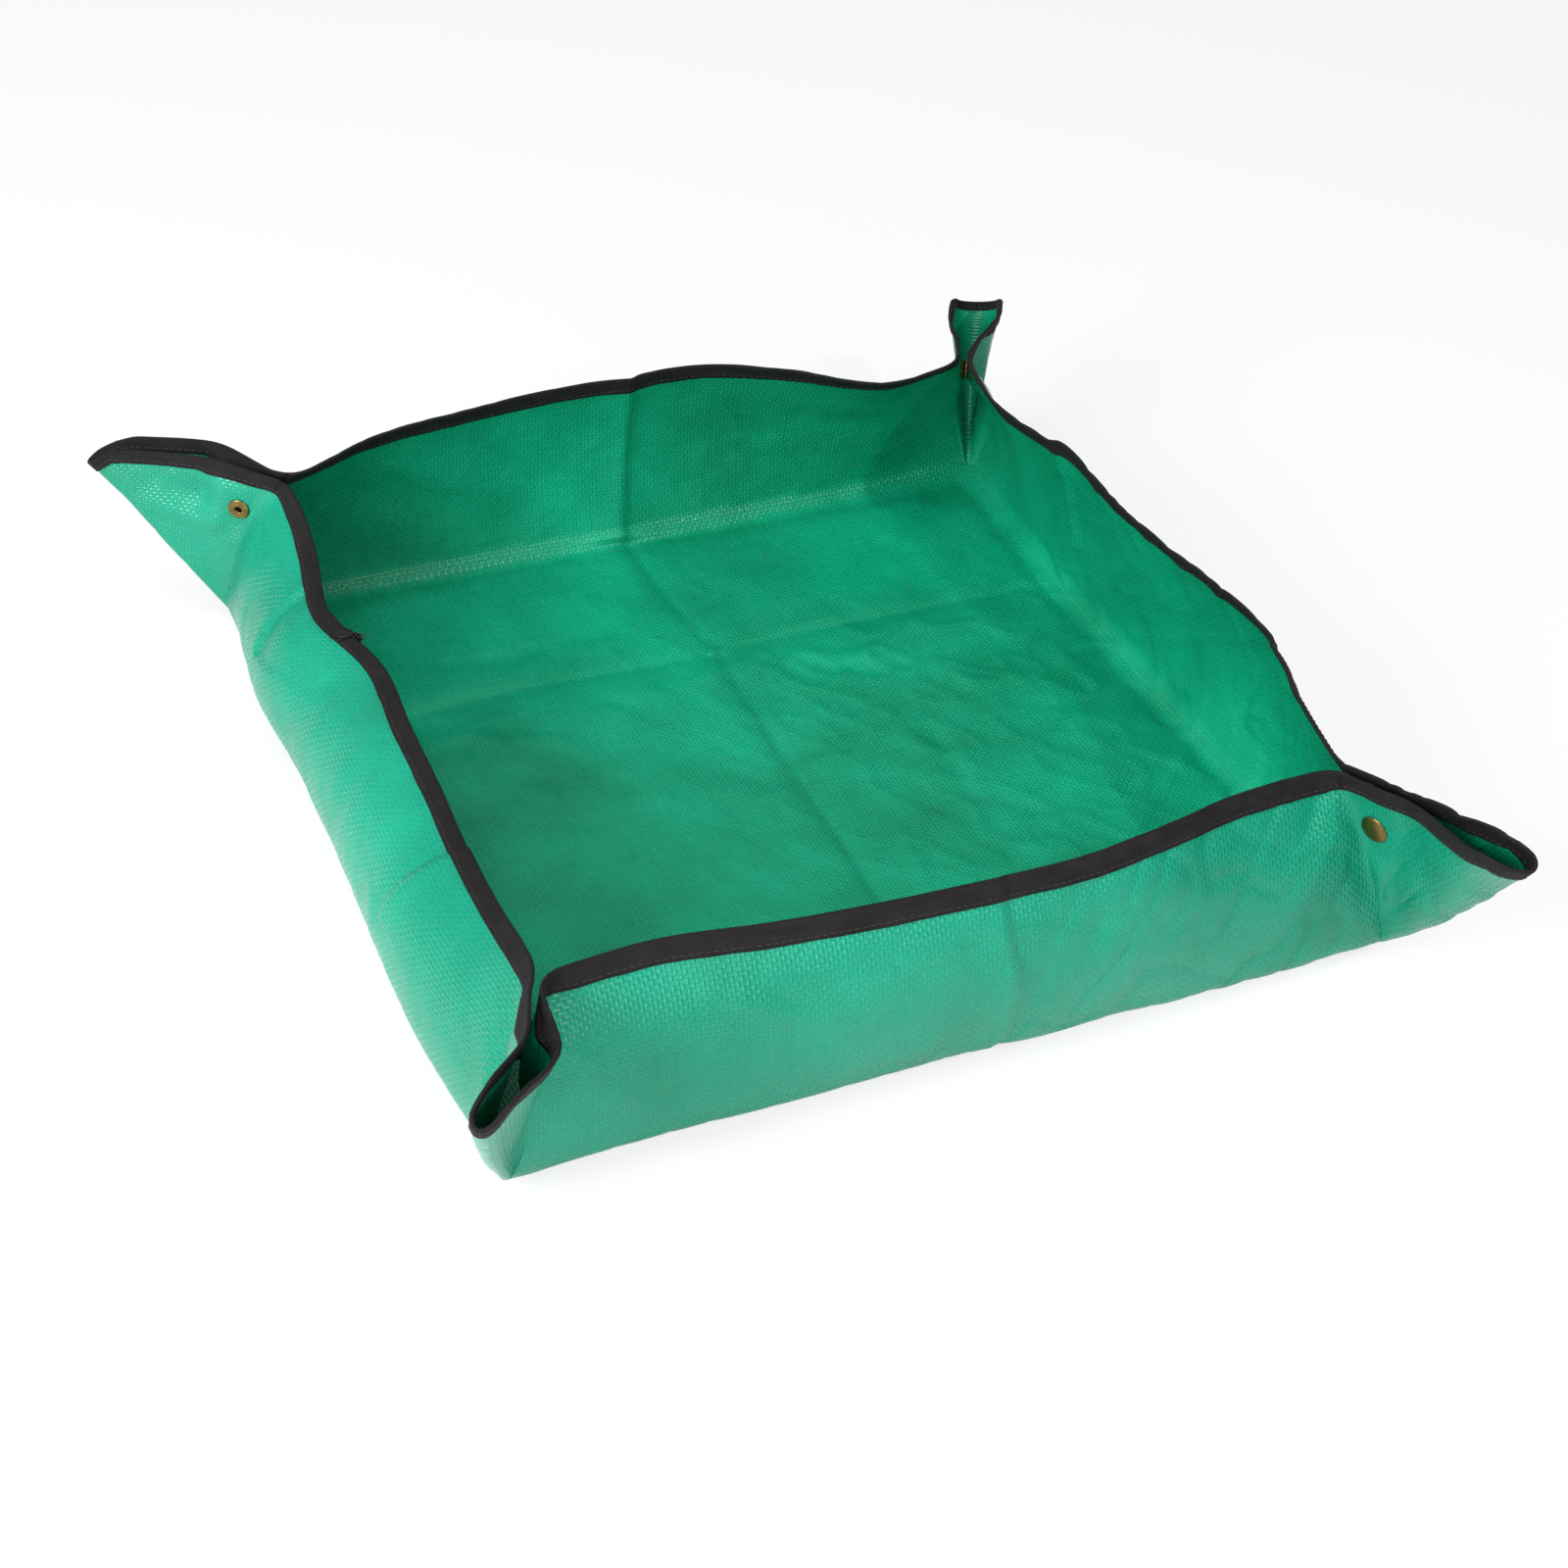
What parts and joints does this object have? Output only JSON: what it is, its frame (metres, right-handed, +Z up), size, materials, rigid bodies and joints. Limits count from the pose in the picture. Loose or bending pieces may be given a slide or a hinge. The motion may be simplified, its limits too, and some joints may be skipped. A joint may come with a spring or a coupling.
{
  "type": "repotting mat",
  "caption": "Square waterproof repotting mat with taped edges; press studs pinch its corners into ears so the sides stand up as a shallow soil tray, and open so it lies flat.",
  "frame": {"origin": "centre of the floor, on its underside, which rests on the table", "axes": "+Z up out of the tray, +X to the right wall and -Y to the front wall"},
  "size_m": [0.5861, 0.5933, 0.1191],
  "materials": {
    "green_tarp": "semi-gloss woven polyethylene tarpaulin",
    "black_tape": "matt woven binding tape",
    "aged_brass": "antique brass, semi-gloss"
  },
  "bodies": {
    "mat_floor": {"floor_panel": "green_tarp"},
    "front_wall": {"front_wall_panel": "green_tarp", "front_wall_binding": "black_tape"},
    "right_wall": {"right_wall_panel": "green_tarp", "right_wall_binding": "black_tape"},
    "back_wall": {"back_wall_panel": "green_tarp", "back_wall_binding": "black_tape"},
    "left_wall": {"left_wall_panel": "green_tarp", "left_wall_binding": "black_tape"},
    "right_ear_front_half": {"right_ear_front_side": "green_tarp", "right_ear_front_binding": "black_tape", "right_snap_cap": "aged_brass", "right_snap_socket": "aged_brass"},
    "right_ear_right_half": {"right_ear_right_side": "green_tarp", "right_ear_right_binding": "black_tape", "right_snap_post": "aged_brass", "right_snap_stud": "aged_brass"},
    "back_ear_right_half": {"back_ear_right_side": "green_tarp", "back_ear_right_binding": "black_tape", "back_snap_cap": "aged_brass", "back_snap_socket": "aged_brass"},
    "back_ear_back_half": {"back_ear_back_side": "green_tarp", "back_ear_back_binding": "black_tape", "back_snap_post": "aged_brass", "back_snap_stud": "aged_brass"},
    "left_ear_back_half": {"left_ear_back_side": "green_tarp", "left_ear_back_binding": "black_tape", "left_snap_cap": "aged_brass", "left_snap_socket": "aged_brass"},
    "left_ear_left_half": {"left_ear_left_side": "green_tarp", "left_ear_left_binding": "black_tape", "left_snap_post": "aged_brass", "left_snap_stud": "aged_brass"},
    "front_ear_left_half": {"front_ear_left_side": "green_tarp", "front_ear_left_binding": "black_tape", "front_snap_cap": "aged_brass", "front_snap_socket": "aged_brass"},
    "front_ear_front_half": {"front_ear_front_side": "green_tarp", "front_ear_front_binding": "black_tape", "front_snap_post": "aged_brass", "front_snap_stud": "aged_brass"}
  },
  "joints": [
    {"name": "front_wall_fold", "type": "hinge", "parent": "mat_floor", "child": "front_wall", "pos_m": [0, -0.23278, 0.00422], "axis": [1, 0, 0], "range_deg": [0, 75]},
    {"name": "right_wall_fold", "type": "hinge", "parent": "mat_floor", "child": "right_wall", "pos_m": [0.23278, 0, 0.00422], "axis": [0, 1, 0], "range_deg": [0, 82.6]},
    {"name": "back_wall_fold", "type": "hinge", "parent": "mat_floor", "child": "back_wall", "pos_m": [0, 0.23278, 0.00422], "axis": [-1, 0, 0], "range_deg": [0, 79.6]},
    {"name": "left_wall_fold", "type": "hinge", "parent": "mat_floor", "child": "left_wall", "pos_m": [-0.23278, 0, 0.00422], "axis": [0, -1, 0], "range_deg": [0, 62.8]},
    {"name": "right_ear_front_fold", "type": "hinge", "parent": "front_wall", "child": "right_ear_front_half", "pos_m": [0.23045, -0.23455, 0.0045], "axis": [-0.1684, 0.1684, 0.9712], "range_deg": [0, 44.3]},
    {"name": "right_ear_right_fold", "type": "hinge", "parent": "right_wall", "child": "right_ear_right_half", "pos_m": [0.23455, -0.23045, 0.0045], "axis": [0.1684, -0.1684, -0.9712], "range_deg": [0, 34.1]},
    {"name": "back_ear_right_fold", "type": "hinge", "parent": "right_wall", "child": "back_ear_right_half", "pos_m": [0.23455, 0.23045, 0.0045], "axis": [-0.1684, -0.1684, 0.9712], "range_deg": [0, 30.4]},
    {"name": "back_ear_back_fold", "type": "hinge", "parent": "back_wall", "child": "back_ear_back_half", "pos_m": [0.23045, 0.23455, 0.0045], "axis": [0.1684, 0.1684, -0.9712], "range_deg": [0, 50.5]},
    {"name": "left_ear_back_fold", "type": "hinge", "parent": "back_wall", "child": "left_ear_back_half", "pos_m": [-0.23045, 0.23455, 0.0045], "axis": [0.1684, -0.1684, 0.9712], "range_deg": [0, 31.6]},
    {"name": "left_ear_left_fold", "type": "hinge", "parent": "left_wall", "child": "left_ear_left_half", "pos_m": [-0.23455, 0.23045, 0.0045], "axis": [-0.1684, 0.1684, -0.9712], "range_deg": [0, 35]},
    {"name": "front_ear_left_fold", "type": "hinge", "parent": "left_wall", "child": "front_ear_left_half", "pos_m": [-0.23455, -0.23045, 0.0045], "axis": [0.1684, 0.1684, 0.9712], "range_deg": [0, 19.6]},
    {"name": "front_ear_front_fold", "type": "hinge", "parent": "front_wall", "child": "front_ear_front_half", "pos_m": [-0.23045, -0.23455, 0.0045], "axis": [-0.1684, -0.1684, -0.9712], "range_deg": [0, 51.8]}
  ],
  "couplings": [
    {"joint": "right_wall_fold", "follows": "front_wall_fold", "ratio": 1.1},
    {"joint": "back_wall_fold", "follows": "front_wall_fold", "ratio": 1.06},
    {"joint": "left_wall_fold", "follows": "front_wall_fold", "ratio": 0.835},
    {"joint": "right_ear_front_fold", "follows": "front_wall_fold", "ratio": 0.5889},
    {"joint": "right_ear_right_fold", "follows": "front_wall_fold", "ratio": 0.4522},
    {"joint": "back_ear_right_fold", "follows": "front_wall_fold", "ratio": 0.4033},
    {"joint": "back_ear_back_fold", "follows": "front_wall_fold", "ratio": 0.6713},
    {"joint": "left_ear_back_fold", "follows": "front_wall_fold", "ratio": 0.4199},
    {"joint": "left_ear_left_fold", "follows": "front_wall_fold", "ratio": 0.4653},
    {"joint": "front_ear_left_fold", "follows": "front_wall_fold", "ratio": 0.2598},
    {"joint": "front_ear_front_fold", "follows": "front_wall_fold", "ratio": 0.6889}
  ]
}
